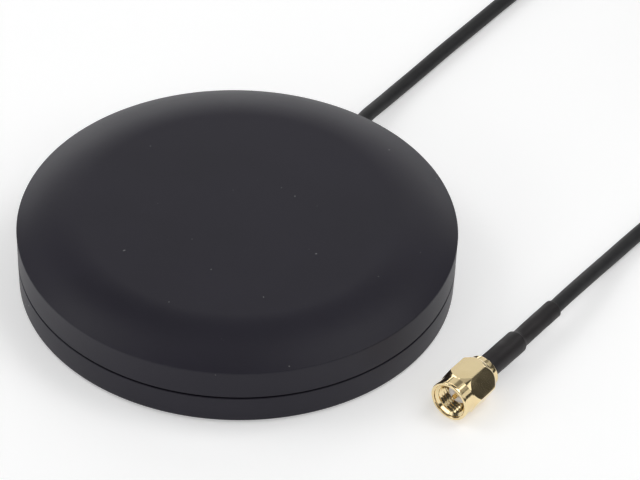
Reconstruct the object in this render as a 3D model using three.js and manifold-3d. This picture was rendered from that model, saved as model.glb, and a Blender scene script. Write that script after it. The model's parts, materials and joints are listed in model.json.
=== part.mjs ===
// An external GNSS antenna: a round puck that lies flat on a roof or a table, with a coaxial
// cable and a threaded plug. Millimetres, +Z up. The origin is the centre of the pad's underside,
// and the cable leaves the puck along +Y.
import * as THREE from "three";
import { mergeVertices } from "three/addons/utils/BufferGeometryUtils.js";
import Module from "manifold-3d";

const wasm = await Module();
wasm.setup();

// ---- driving dimensions ----

// Outside of the housing
const RIM_R = 41; // widest radius, at the crease between wall and shoulder
const RIM_Z = 12.2;
const SPLIT_R = 40.75; // wall radius at the joint between radome and base
const FOOT_R = 40.5; // wall radius at the bottom
const FOOT_Z = 0.3; // the rim stands this far off the table, because the pad carries the weight
const SPLIT_LOW = 5.9; // top of the base
const SPLIT_HIGH = 6.2; // bottom of the radome
const PLATEAU_R = 28.7; // the flat top ends and the rounded shoulder starts
const SHOULDER_R = 22; // radius of the shoulder's arc
const CROWN = 0.15; // rise of the plateau's middle
const PLATEAU_Z = RIM_Z + SHOULDER_R - Math.sqrt(SHOULDER_R ** 2 - (RIM_R - PLATEAU_R) ** 2);
const SHOULDER_Z = PLATEAU_Z - SHOULDER_R; // height of the arc's centre
const RADOME_T = 1.9;
const RADOME_INNER_R = 38.9;
const CEILING_Z = PLATEAU_Z - 2;

// Base tray
const PAD_R = 26;
const PAD_T = 0.8;
const FLOOR_TOP = 2.4;
const TRAY_INNER_R = 37.4;
const TONGUE_R = 38.6; // the base's tongue stands inside the radome's wall
const TONGUE_TOP = 7.6;
const SEAL = { inner: 38.75, outer: 39.6, low: 5.95, high: 6.8, corner: 0.2, room: 0.15 };
const TRAY_EDGE = 0.5; // rounding of the base's lower edge

// Housing screws, on a circle between the cable exit and the sides
const SCREW_CIRCLE_R = 33;
const SCREW_ANGLES = [45, 135, 225, 315];
const SCREW = { headR: 2.2, headLow: 0.6, headTop: 2.1, shankR: 1.1, tip: 11 };
const SCREW_CROSS = { length: 2.6, width: 0.6, depth: 0.8 };
const SCREW_ROOM = { head: 0.4, shank: 0.3, pilot: 0.15 };
const BOSS_R = 3;
const BASE_BOSS_TOP = 7;
const RADOME_BOSS_LOW = 7.3;

// Magnets under the pad
const MAGNET_CIRCLE_R = 18;
const MAGNET = { r: 5, low: PAD_T, top: 3.3 };
const MAGNET_POCKET = { r: 5.3, top: 3.5, wallR: 6.6, wallTop: 4.5 };

// Circuit board and the stacked ceramic patches on it
const PCB_R = 36.4;
const PCB_LOW = 5.6;
const PCB_TOP = 6.8;
const STANDOFF_CIRCLE_R = 31;
const STANDOFF_ANGLES = [0, 180, 270];
const STANDOFF_R = 2.4;
const BOARD_SCREW = { shankR: 0.8, depth: 2.4, headR: 1.7, headT: 1, holeR: 0.95, boardHoleR: 1.05 };
const TAPE_T = 0.2;
const ELECTRODE_T = 0.1;
const LOWER_PATCH = { side: 35, tape: 34, electrode: 29, t: 3 };
const UPPER_PATCH = { side: 25, tape: 24, electrode: 20, t: 2.5 };
const PIN_RELIEF = { r: 1.3, depth: 0.8 };
const FEED_PIN = { r: 0.45, headR: 1, headT: 0.3, holeR: 0.75 };
const UPPER_FEED_X = 2.6;
const LOWER_FEED_Y = -7.5;
const SHIELD = { side: 18, h: 2.6, t: 0.3 };

// Cable and its way out of the base
const CABLE_R = 1.4;
const EXIT_Z = 3.2;
const EXIT_HOLE = { r: 2.1, start: 31 };
const BOOT_END_Y = 47; // outer end of the grommet's tapered boot
const GROMMET_BORE_R = 1.55;
const END_GAP = 0.3; // between the ends of pieces that meet

// Coil of the spare cable
const COIL = { x: 41, y: 152, innerR: 16.4, outerR: 27.6, low: 0.9, top: 14.9, corner: 2.4 };
const TIE = { angle: 100, width: 4, t: 0.5, gap: 0.35, corner: 2.2 };

// Plug: u runs along its axis from the coupling nut's mouth towards the cable
const PLUG_TIP = [52.68, -15.25, 4.14];
const PLUG_HEADING = 8; // degrees from +Y towards +X that the cable leaves the plug
const NUT = { flats: 8, frontR: 3.98, hexStart: 2.5, length: 9.4, bevelR: 3.9, bevel: 1.4, edge: 0.2 };
const NUT_TURN = 3.4; // degrees that the nut lies turned from resting on a flat
const NUT_BORE = { mouthR: 3.4, mouthEnd: 0.7, threadR: 2.95, threadEnd: 4.3, rearR: 3.2 };
const RING_GROOVE = { low: 7, high: 7.9, nutR: 3.5, bodyR: 2.65 };
const RING = { inner: 2.75, outer: 3.4, low: 7.15, high: 7.75, slot: 1.2 };
const FACE = 2.8; // the outer contact's front face, where the mating socket stops
const BODY = { tubeR: 2.3, boreR: 2.07, shoulderR: 3.05, shoulderStart: 5.9, shoulderEnd: 9.3 };
const COLLAR = { r: 3.3, start: 9.7, end: 11, edge: 0.3 }; // the body's flange behind the nut
const STEM = { r: 1.35, boreR: 0.95, start: 8.6, end: 17 }; // carries the cable's braid and the ferrule
const GASKET = { inner: 2.4, outer: 3.05, low: 5.1, high: 5.8 };
const INSULATOR = { inner: 0.72, outer: 2, end: 8.4 };
const PIN = { tip: 1.1, tipR: 0.2, cone: 0.5, r: 0.46, rootR: 0.64, end: 8.3 };
const FERRULE = { inner: 1.6, outer: 1.9, start: 11.3 };
const SLEEVE = { start: 11.3, step: 21.2, taper: 0.8, end: 33.1, fatR: 2.25, thinR: 1.8 };

const ROUND = 48; // facets of the large round parts
const SMALL_ROUND = 16;

// ---- helpers ----

const material = (color, roughness, metalness = 0) =>
  new THREE.MeshStandardMaterial({ color, roughness, metalness });

const MATERIALS = {
  housing: material(0x26252b, 0.55),
  rubber: material(0x1b1b1d, 0.8),
  magnet: material(0xb8babd, 0.3, 1),
  steel: material(0x9a9ca0, 0.35, 1),
  board: material(0x1f5a38, 0.5),
  ceramic: material(0xb7aa93, 0.7),
  silver: material(0xcfcfcd, 0.3, 1),
  tape: material(0xd8d4c4, 0.6),
  chip: material(0x202022, 0.5),
  cableJacket: material(0x202022, 0.45),
  polyethylene: material(0xe8e6e0, 0.5),
  copper: material(0xb87350, 0.3, 1),
  gold: material(0xd8b469, 0.2, 1),
  ptfe: material(0xf0e9e4, 0.6),
  silicone: material(0xb5482f, 0.6),
};

const antenna = new THREE.Group();

function add(name, geometry, material, parent = antenna) {
  const mesh = new THREE.Mesh(geometry, material);
  mesh.name = name;
  parent.add(mesh);
  return mesh;
}

// A closed geometry as a manifold-3d solid.
function solid(geometry) {
  const bare = new THREE.BufferGeometry();
  const flat = geometry.index ? geometry.toNonIndexed() : geometry;
  bare.setAttribute("position", flat.getAttribute("position"));
  const merged = mergeVertices(bare, 1e-4);
  return new wasm.Manifold(
    new wasm.Mesh({
      numProp: 3,
      vertProperties: merged.attributes.position.array,
      triVerts: new Uint32Array(merged.index.array),
    }),
  );
}

function geometryOf(manifold) {
  const mesh = manifold.getMesh();
  const geometry = new THREE.BufferGeometry();
  geometry.setAttribute("position", new THREE.BufferAttribute(mesh.vertProperties, 3));
  geometry.setIndex(new THREE.BufferAttribute(mesh.triVerts, 1));
  geometry.computeVertexNormals();
  return geometry;
}

// A base shape with others joined to it and others cut from it.
function shape(base, { plus = [], minus = [] }) {
  let result = solid(base);
  for (const piece of plus) result = result.add(solid(piece));
  for (const piece of minus) result = result.subtract(solid(piece));
  return geometryOf(result);
}

// A body turned about Z from [radius, height] points, anticlockwise in the r-z plane.
function turned(points, segments = ROUND, closed = true) {
  const outline = points.map(([r, z]) => new THREE.Vector2(r, z));
  if (closed) outline.push(outline[0].clone());
  return new THREE.LatheGeometry(outline, segments).rotateX(Math.PI / 2);
}

function cylinder(r, low, high, x = 0, y = 0, segments = SMALL_ROUND) {
  return new THREE.CylinderGeometry(r, r, high - low, segments)
    .rotateX(Math.PI / 2)
    .translate(x, y, (low + high) / 2);
}

function box(sizeX, sizeY, low, high, x = 0, y = 0) {
  return new THREE.BoxGeometry(sizeX, sizeY, high - low).translate(x, y, (low + high) / 2);
}

function onCircle(radius, degrees) {
  const angle = THREE.MathUtils.degToRad(degrees);
  return [radius * Math.cos(angle), radius * Math.sin(angle)];
}

// Turns a body made along Z so that it runs along +Y at the cable exit's height.
function alongExit(geometry) {
  return geometry.rotateX(-Math.PI / 2).translate(0, 0, EXIT_Z);
}

function sweep(points, radius, steps, sides = 8) {
  const outline = new THREE.Shape();
  for (let i = 0; i < sides; i++) {
    const [x, y] = onCircle(radius, (360 * i) / sides);
    if (i === 0) outline.moveTo(x, y);
    else outline.lineTo(x, y);
  }
  const path = new THREE.CatmullRomCurve3(points.map((p) => new THREE.Vector3(...p)));
  return new THREE.ExtrudeGeometry(outline, { steps, extrudePath: path });
}

// Points on the shoulder's arc of a given radius, from the rim's side up to the plateau.
function shoulder(radius, rimAngle, count) {
  const points = [];
  for (let i = 0; i <= count; i++) {
    const angle = rimAngle * (1 - i / count);
    points.push([PLATEAU_R + radius * Math.sin(angle), SHOULDER_Z + radius * Math.cos(angle)]);
  }
  return points;
}

// ---- housing ----

function radome() {
  const rimAngle = Math.asin((RIM_R - PLATEAU_R) / SHOULDER_R);
  const innerArc = SHOULDER_R - RADOME_T;
  const innerAngle = Math.asin((RADOME_INNER_R - PLATEAU_R) / innerArc);
  const notchR = SEAL.outer + SEAL.room;
  const notchTop = SEAL.high + SEAL.room;
  const shell = turned([
    [notchR, SPLIT_HIGH],
    [SPLIT_R, SPLIT_HIGH],
    ...shoulder(SHOULDER_R, rimAngle, 6),
    [PLATEAU_R * 0.5, PLATEAU_Z + CROWN * 0.75],
    [0, PLATEAU_Z + CROWN],
    [0, CEILING_Z],
    ...shoulder(innerArc, innerAngle, 3).reverse(),
    [RADOME_INNER_R, notchTop],
    [notchR, notchTop],
  ]);
  const bosses = [];
  const pilots = [];
  for (const angle of SCREW_ANGLES) {
    const [x, y] = onCircle(SCREW_CIRCLE_R, angle);
    bosses.push(cylinder(BOSS_R, RADOME_BOSS_LOW, CEILING_Z + 0.3, x, y));
    pilots.push(
      cylinder(SCREW.shankR + SCREW_ROOM.pilot, RADOME_BOSS_LOW - 1, SCREW.tip + 0.6, x, y),
    );
  }
  return shape(shell, { plus: bosses, minus: pilots });
}

function baseTray() {
  const edge = TRAY_EDGE;
  const tray = turned([
    [0, PAD_T],
    [PAD_R + 0.4, PAD_T],
    [PAD_R + 0.4, FOOT_Z],
    [FOOT_R - edge, FOOT_Z],
    [FOOT_R - edge * 0.3, FOOT_Z + edge * 0.3],
    [FOOT_R, FOOT_Z + edge],
    [SPLIT_R, SPLIT_LOW],
    [TONGUE_R, SPLIT_LOW],
    [TONGUE_R, TONGUE_TOP],
    [TRAY_INNER_R, TONGUE_TOP],
    [TRAY_INNER_R, FLOOR_TOP],
    [0, FLOOR_TOP],
  ]);
  const plus = [];
  const minus = [];
  for (const angle of SCREW_ANGLES) {
    const [x, y] = onCircle(SCREW_CIRCLE_R, angle);
    plus.push(cylinder(BOSS_R, FLOOR_TOP - 0.5, BASE_BOSS_TOP, x, y));
    minus.push(cylinder(SCREW.headR + SCREW_ROOM.head, 0, SCREW.headTop + 0.1, x, y));
    minus.push(cylinder(SCREW.shankR + SCREW_ROOM.shank, 0, BASE_BOSS_TOP + 1, x, y));
  }
  for (const angle of [0, 90, 180, 270]) {
    const [x, y] = onCircle(MAGNET_CIRCLE_R, angle);
    plus.push(cylinder(MAGNET_POCKET.wallR, FLOOR_TOP - 0.5, MAGNET_POCKET.wallTop, x, y));
    minus.push(cylinder(MAGNET_POCKET.r, 0, MAGNET_POCKET.top, x, y));
  }
  for (const angle of STANDOFF_ANGLES) {
    const [x, y] = onCircle(STANDOFF_CIRCLE_R, angle);
    plus.push(cylinder(STANDOFF_R, FLOOR_TOP - 0.5, PCB_LOW, x, y));
    minus.push(cylinder(BOARD_SCREW.holeR, FLOOR_TOP, PCB_LOW + 1, x, y));
  }
  minus.push(alongExit(cylinder(EXIT_HOLE.r, EXIT_HOLE.start, RIM_R + 2)));
  return shape(tray, { plus, minus });
}

function sealRing() {
  const { inner, outer, low, high, corner: cut } = SEAL;
  return turned([
    [inner + cut, low],
    [outer - cut, low],
    [outer, low + cut],
    [outer, high - cut],
    [outer - cut, high],
    [inner + cut, high],
    [inner, high - cut],
    [inner, low + cut],
  ]);
}

// A self-tapping screw seen from below: a pan head with a cross recess.
function housingScrew(x, y) {
  const { headR, headLow, headTop, shankR, tip } = SCREW;
  const body = turned(
    [
      [0, headLow],
      [headR - 0.5, headLow],
      [headR, headLow + 0.5],
      [headR, headTop],
      [shankR, headTop],
      [shankR, tip - 1],
      [0, tip],
    ],
    SMALL_ROUND,
  );
  const { length, width, depth } = SCREW_CROSS;
  const recess = [
    box(length, width, headLow - 1, headLow + depth),
    box(width, length, headLow - 1, headLow + depth),
  ];
  return shape(body, { minus: recess }).translate(x, y, 0);
}

// A soft pad that the antenna stands on.
function basePad() {
  const edge = 0.3;
  return turned([
    [0, 0],
    [PAD_R - edge, 0],
    [PAD_R, edge],
    [PAD_R, PAD_T],
    [0, PAD_T],
  ]);
}

add("radome", radome(), MATERIALS.housing);
add("base_tray", baseTray(), MATERIALS.housing);
add("seal_ring", sealRing(), MATERIALS.rubber);
add("base_pad", basePad(), MATERIALS.rubber);
SCREW_ANGLES.forEach((angle, i) => {
  const [x, y] = onCircle(SCREW_CIRCLE_R, angle);
  add(`housing_screw_${i + 1}`, housingScrew(x, y), MATERIALS.steel);
});
[0, 90, 180, 270].forEach((angle, i) => {
  const [x, y] = onCircle(MAGNET_CIRCLE_R, angle);
  add(`magnet_${i + 1}`, cylinder(MAGNET.r, MAGNET.low, MAGNET.top, x, y, 24), MATERIALS.magnet);
});

// ---- circuit board, patches and amplifier ----

const LOWER_LOW = PCB_TOP + TAPE_T;
const LOWER_TOP = LOWER_LOW + LOWER_PATCH.t;
const UPPER_LOW = LOWER_TOP + ELECTRODE_T + TAPE_T;
const UPPER_TOP = UPPER_LOW + UPPER_PATCH.t;
const FEEDS = { upper: [UPPER_FEED_X, 0], lower: [0, LOWER_FEED_Y] };
const BOTH_FEEDS = [FEEDS.upper, FEEDS.lower];
const feedHole = ([x, y]) => cylinder(FEED_PIN.holeR, 0, CEILING_Z, x, y);

function board() {
  const minus = SCREW_ANGLES.map((angle) => {
    const [x, y] = onCircle(SCREW_CIRCLE_R, angle);
    return cylinder(BOSS_R + 0.4, 0, CEILING_Z, x, y);
  });
  for (const angle of STANDOFF_ANGLES) {
    const [x, y] = onCircle(STANDOFF_CIRCLE_R, angle);
    minus.push(cylinder(BOARD_SCREW.boardHoleR, 0, CEILING_Z, x, y));
  }
  minus.push(feedHole(FEEDS.upper), feedHole(FEEDS.lower));
  return shape(cylinder(PCB_R, PCB_LOW, PCB_TOP, 0, 0, ROUND), { minus });
}

// A square layer of the patch stack, with a hole for each feed pin that passes it.
function layer(side, low, high, feeds) {
  return shape(box(side, side, low, high), { minus: feeds.map((feed) => feedHole(feed)) });
}

function feedPin([x, y], top) {
  const { r, headR, headT } = FEED_PIN;
  const tail = PCB_LOW - 0.6;
  const outline = [
    [0, tail],
    [r, tail],
    [r, top],
    [headR, top],
    [headR * 0.7, top + headT],
    [0, top + headT],
  ];
  return turned(outline, SMALL_ROUND).translate(x, y, 0);
}

function shieldCan() {
  const { side, h, t } = SHIELD;
  const low = PCB_LOW - h;
  const inside = box(side - 2 * t, side - 2 * t, low + t, PCB_LOW + 1);
  return shape(box(side, side, low, PCB_LOW), { minus: [inside] });
}

add("main_board", board(), MATERIALS.board);
add("lower_patch_tape", layer(LOWER_PATCH.tape, PCB_TOP, LOWER_LOW, BOTH_FEEDS), MATERIALS.tape);
add("lower_patch", layer(LOWER_PATCH.side, LOWER_LOW, LOWER_TOP, BOTH_FEEDS), MATERIALS.ceramic);
add(
  "lower_patch_electrode",
  layer(LOWER_PATCH.electrode, LOWER_TOP, LOWER_TOP + ELECTRODE_T, BOTH_FEEDS),
  MATERIALS.silver,
);
// The lower pin's head lies under the upper patch, in a relief of its tape and its underside.
const pinRelief = cylinder(PIN_RELIEF.r, LOWER_TOP, LOWER_TOP + PIN_RELIEF.depth, ...FEEDS.lower);
const upperCuts = { minus: [feedHole(FEEDS.upper), pinRelief] };
const upperTape = box(UPPER_PATCH.tape, UPPER_PATCH.tape, LOWER_TOP + ELECTRODE_T, UPPER_LOW);
const upperPatch = box(UPPER_PATCH.side, UPPER_PATCH.side, UPPER_LOW, UPPER_TOP);
add("upper_patch_tape", shape(upperTape, upperCuts), MATERIALS.tape);
add("upper_patch", shape(upperPatch, upperCuts), MATERIALS.ceramic);
add(
  "upper_patch_electrode",
  layer(UPPER_PATCH.electrode, UPPER_TOP, UPPER_TOP + ELECTRODE_T, [FEEDS.upper]),
  MATERIALS.silver,
);
add("upper_feed_pin", feedPin(FEEDS.upper, UPPER_TOP + ELECTRODE_T), MATERIALS.silver);
add("lower_feed_pin", feedPin(FEEDS.lower, LOWER_TOP + ELECTRODE_T), MATERIALS.silver);
add("amplifier_shield", shieldCan(), MATERIALS.steel);

// Surface-mount parts under the shield: [name, size x, size y, height, x, y, material]
const BOARD_PARTS = [
  ["amplifier_chip", 3, 3, 0.9, 0, 3.4, MATERIALS.chip],
  ["low_band_filter", 3, 2.4, 1.1, -5, -1, MATERIALS.silver],
  ["high_band_filter", 3, 2.4, 1.1, 5.6, -1, MATERIALS.silver],
  ["bias_inductor", 2, 1.4, 1.2, 4.6, 5.4, MATERIALS.ceramic],
  ["voltage_regulator", 2.9, 1.6, 1.1, -4.6, 5.4, MATERIALS.chip],
];
for (const [name, sizeX, sizeY, height, x, y, finish] of BOARD_PARTS)
  add(name, box(sizeX, sizeY, PCB_LOW - height, PCB_LOW, x, y), finish);

// A self-tapping screw seen from above: a low head with a cross recess.
function boardScrew(x, y) {
  const { shankR, depth, headR, headT } = BOARD_SCREW;
  const outline = [
    [0, PCB_LOW - depth],
    [shankR, PCB_LOW - depth + 0.6],
    [shankR, PCB_TOP],
    [headR, PCB_TOP],
    [headR, PCB_TOP + headT / 2],
    [headR - 0.5, PCB_TOP + headT],
    [0, PCB_TOP + headT],
  ];
  const crossLow = PCB_TOP + headT / 2;
  const cross = [box(1.8, 0.4, crossLow, crossLow + 1), box(0.4, 1.8, crossLow, crossLow + 1)];
  return shape(turned(outline, SMALL_ROUND), { minus: cross }).translate(x, y, 0);
}

STANDOFF_ANGLES.forEach((angle, i) => {
  const [x, y] = onCircle(STANDOFF_CIRCLE_R, angle);
  add(`board_screw_${i + 1}`, boardScrew(x, y), MATERIALS.steel);
});

// ---- cable inside the puck and its grommet ----

const SOLDER_Z = 4.2; // height of the stripped cable under the board
const STRIP = { jacket: 32.6, braid: 28.6, core: 26.8 }; // where each layer ends
const CABLE_LAYERS = { braidR: 1, coreR: 0.75, conductorR: 0.24, step: 0.1 };
const CLAMP = { y: 30.2, width: 4.6, length: 2.4, drop: 1.5, boreR: 1.15 };
const GROMMET = { start: 36.6, innerR: 1.95, flangeR: 2.6, flangeT: 1, bootR: 2.35 };

const ENTRY_ROUTE = [
  [0, BOOT_END_Y, EXIT_Z],
  [0, 42, EXIT_Z],
  [0, 38, EXIT_Z],
  [0, 35.9, EXIT_Z],
  [0, 34.5, EXIT_Z + 0.4],
  [0, 33.4, SOLDER_Z - 0.1],
  [0, STRIP.jacket, SOLDER_Z],
];
const CONDUCTOR_ROUTE = [
  [0, STRIP.core - CABLE_LAYERS.step, SOLDER_Z],
  [0, 25.9, SOLDER_Z + 0.15],
  [0, 25.4, SOLDER_Z + 0.7],
  [0, 25.3, PCB_LOW - 0.05],
];

function stripped(r, from, to) {
  return cylinder(r, from, to).rotateX(-Math.PI / 2).translate(0, 0, SOLDER_Z);
}

function braidClamp() {
  const { y, width, length, drop, boreR } = CLAMP;
  const block = box(width, length, SOLDER_Z - drop, PCB_LOW, 0, y);
  return shape(block, { minus: [stripped(boreR, y - length, y + length)] });
}

// A rubber bush in the wall, with a flange and a short tapered boot outside.
function grommet() {
  const { start, innerR, flangeR, flangeT, bootR } = GROMMET;
  const flangeEnd = RIM_R + flangeT;
  const outline = [
    [GROMMET_BORE_R, start],
    [innerR, start],
    [innerR, RIM_R],
    [flangeR, RIM_R],
    [flangeR, flangeEnd],
    [bootR, flangeEnd + 0.2],
    [innerR, BOOT_END_Y],
    [GROMMET_BORE_R, BOOT_END_Y],
  ];
  return alongExit(turned(outline, SMALL_ROUND));
}

const { braidR, coreR, conductorR, step: stripGap } = CABLE_LAYERS;
add("cable_entry", sweep(ENTRY_ROUTE, CABLE_R, 10), MATERIALS.cableJacket);
add("cable_braid", stripped(braidR, STRIP.braid, STRIP.jacket - stripGap), MATERIALS.copper);
add("cable_core", stripped(coreR, STRIP.core, STRIP.braid - stripGap), MATERIALS.polyethylene);
add("cable_conductor", sweep(CONDUCTOR_ROUTE, conductorR, 6), MATERIALS.copper);
add("braid_clamp", braidClamp(), MATERIALS.steel);
add("cable_grommet", grommet(), MATERIALS.rubber);

// ---- cable outside the puck ----

// Straight out of the boot, down to the table and along it to the outside of the coil.
const TO_COIL = [
  [0, BOOT_END_Y + END_GAP, EXIT_Z],
  [-0.2, 51.2, 2.95],
  [-0.1, 55, 2.4],
  [0.1, 59, 1.85],
  [0.45, 63.3, 1.5],
  [1.2, 69, CABLE_R],
  [2.4, 78, CABLE_R],
  [3.9, 88, CABLE_R],
  [5.5, 98.5, CABLE_R],
  [7.4, 109, CABLE_R],
  [9.5, 120, CABLE_R],
  [11.5, 132, CABLE_R + 0.2],
  [13.1, 144.6, 2.3],
];

// From the outside of the coil back along the table, and up to the plug.
const plugPoint = (u, z) => [
  PLUG_TIP[0] + u * Math.sin(THREE.MathUtils.degToRad(PLUG_HEADING)),
  PLUG_TIP[1] + u * Math.cos(THREE.MathUtils.degToRad(PLUG_HEADING)),
  z,
];
const TO_PLUG = [
  [68.8, 143.6, 3.4],
  [69.7, 132, 1.8],
  [69.9, 120, CABLE_R],
  [69.3, 108, CABLE_R],
  [68, 95, CABLE_R],
  [66.1, 82, CABLE_R],
  [64, 70, CABLE_R],
  [61.8, 59, CABLE_R],
  [60, 48.7, CABLE_R],
  [59.35, 44.4, 1.45],
  [58.9, 40, 1.75],
  [58.6, 36, 2.2],
  [58.3, 31, 2.9],
  [58, 26, 3.55],
  [57.7, 22, 3.95],
  plugPoint(SLEEVE.end + END_GAP, PLUG_TIP[2]),
];

add("cable_to_coil", sweep(TO_COIL, CABLE_R, 14), MATERIALS.cableJacket);
add("cable_to_plug", sweep(TO_PLUG, CABLE_R, 26), MATERIALS.cableJacket);

function coil() {
  const { innerR, outerR, low, top, corner: cut } = COIL;
  return turned([
    [innerR + cut, low],
    [outerR - cut, low],
    [outerR, low + cut],
    [outerR, top - cut],
    [outerR - cut, top],
    [innerR + cut, top],
    [innerR, top - cut],
    [innerR, low + cut],
  ]).translate(COIL.x, COIL.y, 0);
}

// A band round the coil's bundle of turns, square to them.
function tie() {
  const { width, t, gap, corner } = TIE;
  const halfX = (COIL.outerR - COIL.innerR) / 2 + gap;
  const low = COIL.low - gap;
  const high = COIL.top + gap;
  const loop = (grow) => {
    const x = halfX + grow;
    const cut = corner + grow * 0.6;
    return [
      [-x + cut, low - grow],
      [x - cut, low - grow],
      [x, low - grow + cut],
      [x, high + grow - cut],
      [x - cut, high + grow],
      [-x + cut, high + grow],
      [-x, high + grow - cut],
      [-x, low - grow + cut],
    ].map(([px, pz]) => new THREE.Vector2(px, pz));
  };
  const outline = new THREE.Shape(loop(t));
  outline.holes.push(new THREE.Path(loop(0)));
  return new THREE.ExtrudeGeometry(outline, { depth: width, bevelEnabled: false })
    .rotateX(Math.PI / 2)
    .translate((COIL.outerR + COIL.innerR) / 2, width / 2, 0);
}

add("cable_coil", coil(), MATERIALS.cableJacket);
const tieMesh = add("coil_tie", tie(), MATERIALS.rubber);
tieMesh.position.set(COIL.x, COIL.y, 0);
tieMesh.rotation.z = THREE.MathUtils.degToRad(TIE.angle);

// ---- plug ----

// The plug is made along +Z from the nut's mouth, then laid down with its axis level.
const plug = new THREE.Group();
plug.position.set(...PLUG_TIP);
plug.rotation.order = "ZXY";
plug.rotation.x = -Math.PI / 2;
plug.rotation.z = -THREE.MathUtils.degToRad(PLUG_HEADING);
antenna.add(plug);

const PLUG_ROUND = 24;

function couplingNut() {
  const { flats, frontR, hexStart, length, bevelR, bevel, edge } = NUT;
  const cornerR = flats / Math.sqrt(3);
  const hex = new THREE.CylinderGeometry(cornerR, cornerR, length - hexStart, 6)
    .rotateX(Math.PI / 2)
    .rotateZ(Math.PI / 6 - THREE.MathUtils.degToRad(NUT_TURN))
    .translate(0, 0, (hexStart + length) / 2);
  // The corners are turned down to a cone at both ends.
  const turnedBlank = turned(
    [
      [0, hexStart],
      [bevelR, hexStart],
      [cornerR, hexStart + bevel],
      [cornerR, length - bevel],
      [bevelR, length],
      [0, length],
    ],
    PLUG_ROUND,
  );
  const barrel = turned(
    [
      [0, 0],
      [frontR - edge, 0],
      [frontR, edge],
      [frontR, hexStart + bevel / 2],
      [0, hexStart + bevel / 2],
    ],
    PLUG_ROUND,
  );
  const { mouthR, mouthEnd, threadR, threadEnd, rearR } = NUT_BORE;
  const bore = turned(
    [
      [0, -1],
      [mouthR, -1],
      [mouthR, mouthEnd / 2],
      [threadR, mouthEnd],
      [threadR, threadEnd],
      [rearR, threadEnd + 0.1],
      [rearR, RING_GROOVE.low],
      [RING_GROOVE.nutR, RING_GROOVE.low],
      [RING_GROOVE.nutR, RING_GROOVE.high],
      [rearR, RING_GROOVE.high],
      [rearR, length + 1],
      [0, length + 1],
    ],
    PLUG_ROUND,
  );
  const blank = solid(hex).intersect(solid(turnedBlank)).add(solid(barrel));
  return geometryOf(blank.subtract(solid(bore)));
}

function plugBody() {
  const { tubeR, boreR, shoulderR, shoulderStart, shoulderEnd } = BODY;
  return turned(
    [
      [boreR, FACE],
      [tubeR, FACE],
      [tubeR, shoulderStart],
      [shoulderR, shoulderStart],
      [shoulderR, RING_GROOVE.low],
      [RING_GROOVE.bodyR, RING_GROOVE.low],
      [RING_GROOVE.bodyR, RING_GROOVE.high],
      [shoulderR, RING_GROOVE.high],
      [shoulderR, shoulderEnd],
      [RING_GROOVE.bodyR, COLLAR.start],
      [COLLAR.r, COLLAR.start],
      [COLLAR.r, COLLAR.end - COLLAR.edge],
      [COLLAR.r - COLLAR.edge, COLLAR.end],
      [STEM.r, COLLAR.end],
      [STEM.r, STEM.end],
      [STEM.boreR, STEM.end],
      [STEM.boreR, STEM.start],
      [boreR, STEM.start],
    ],
    PLUG_ROUND,
  );
}

// The ring that lets the nut turn on the body: a C that sits half in each part's groove.
function retainingRing() {
  const { inner, outer, low, high, slot } = RING;
  const ring = turned([[inner, low], [outer, low], [outer, high], [inner, high]], PLUG_ROUND);
  return shape(ring, { minus: [box(inner, slot, low - 1, high + 1, outer)] });
}

function plugPin() {
  const { tip, tipR, cone, r, rootR, end } = PIN;
  return turned(
    [
      [0, tip],
      [tipR, tip],
      [r, tip + cone],
      [r, FACE + 0.2],
      [rootR, FACE + 0.3],
      [rootR, end],
      [0, end],
    ],
    PLUG_ROUND,
  );
}

// Shrunk over the ferrule and, thinner, over the first stretch of cable.
function shrinkSleeve() {
  const { start, step, taper, end, fatR, thinR } = SLEEVE;
  const inner = FERRULE.outer + 0.07;
  const cableRoom = CABLE_R + 0.12;
  return turned(
    [
      [inner, start],
      [fatR - 0.1, start],
      [fatR, start + 0.2],
      [fatR, step],
      [thinR, step + taper],
      [thinR, end],
      [cableRoom, end],
      [cableRoom, step + taper - 0.2],
      [inner, step - 0.1],
    ],
    PLUG_ROUND,
  );
}

// A plain round length inside the plug, hollow where it has an inner radius.
function round(inner, outer, low, high) {
  return turned([[inner, low], [outer, low], [outer, high], [inner, high]], PLUG_ROUND);
}

const CORE_END = SLEEVE.step - 0.3;
add("coupling_nut", couplingNut(), MATERIALS.gold, plug);
add("plug_body", plugBody(), MATERIALS.gold, plug);
add("plug_retaining_ring", retainingRing(), MATERIALS.steel, plug);
add("plug_gasket", round(GASKET.inner, GASKET.outer, GASKET.low, GASKET.high), MATERIALS.silicone, plug);
add("plug_insulator", round(INSULATOR.inner, INSULATOR.outer, FACE, INSULATOR.end), MATERIALS.ptfe, plug);
add("plug_pin", plugPin(), MATERIALS.gold, plug);
add("plug_cable_core", round(0, coreR, STEM.start, CORE_END), MATERIALS.polyethylene, plug);
add("crimp_ferrule", round(FERRULE.inner, FERRULE.outer, FERRULE.start, CORE_END), MATERIALS.gold, plug);
add("plug_cable_end", round(0, CABLE_R, SLEEVE.step + 0.7, SLEEVE.end), MATERIALS.cableJacket, plug);
add("shrink_sleeve", shrinkSleeve(), MATERIALS.rubber, plug);

export default antenna;
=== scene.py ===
"""Looks for a GNSS antenna puck: the housing, the cable with its coil, and the gold plug.

Metres, in the frame of the CAD part: +Z up, the cable leaves the puck along +Y. `mm` turns the
millimetres of the driving dimensions into metres.
"""

import math

import bmesh
import bpy
from mathutils import Matrix, Vector
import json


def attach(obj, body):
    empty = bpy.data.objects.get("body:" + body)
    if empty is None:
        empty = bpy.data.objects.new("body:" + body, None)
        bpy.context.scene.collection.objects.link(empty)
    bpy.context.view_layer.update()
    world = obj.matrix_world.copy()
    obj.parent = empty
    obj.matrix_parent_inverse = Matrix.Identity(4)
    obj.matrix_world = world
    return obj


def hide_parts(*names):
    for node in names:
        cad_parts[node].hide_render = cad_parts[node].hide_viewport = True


mm = 0.001

# ---- driving dimensions, in millimetres ----

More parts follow.
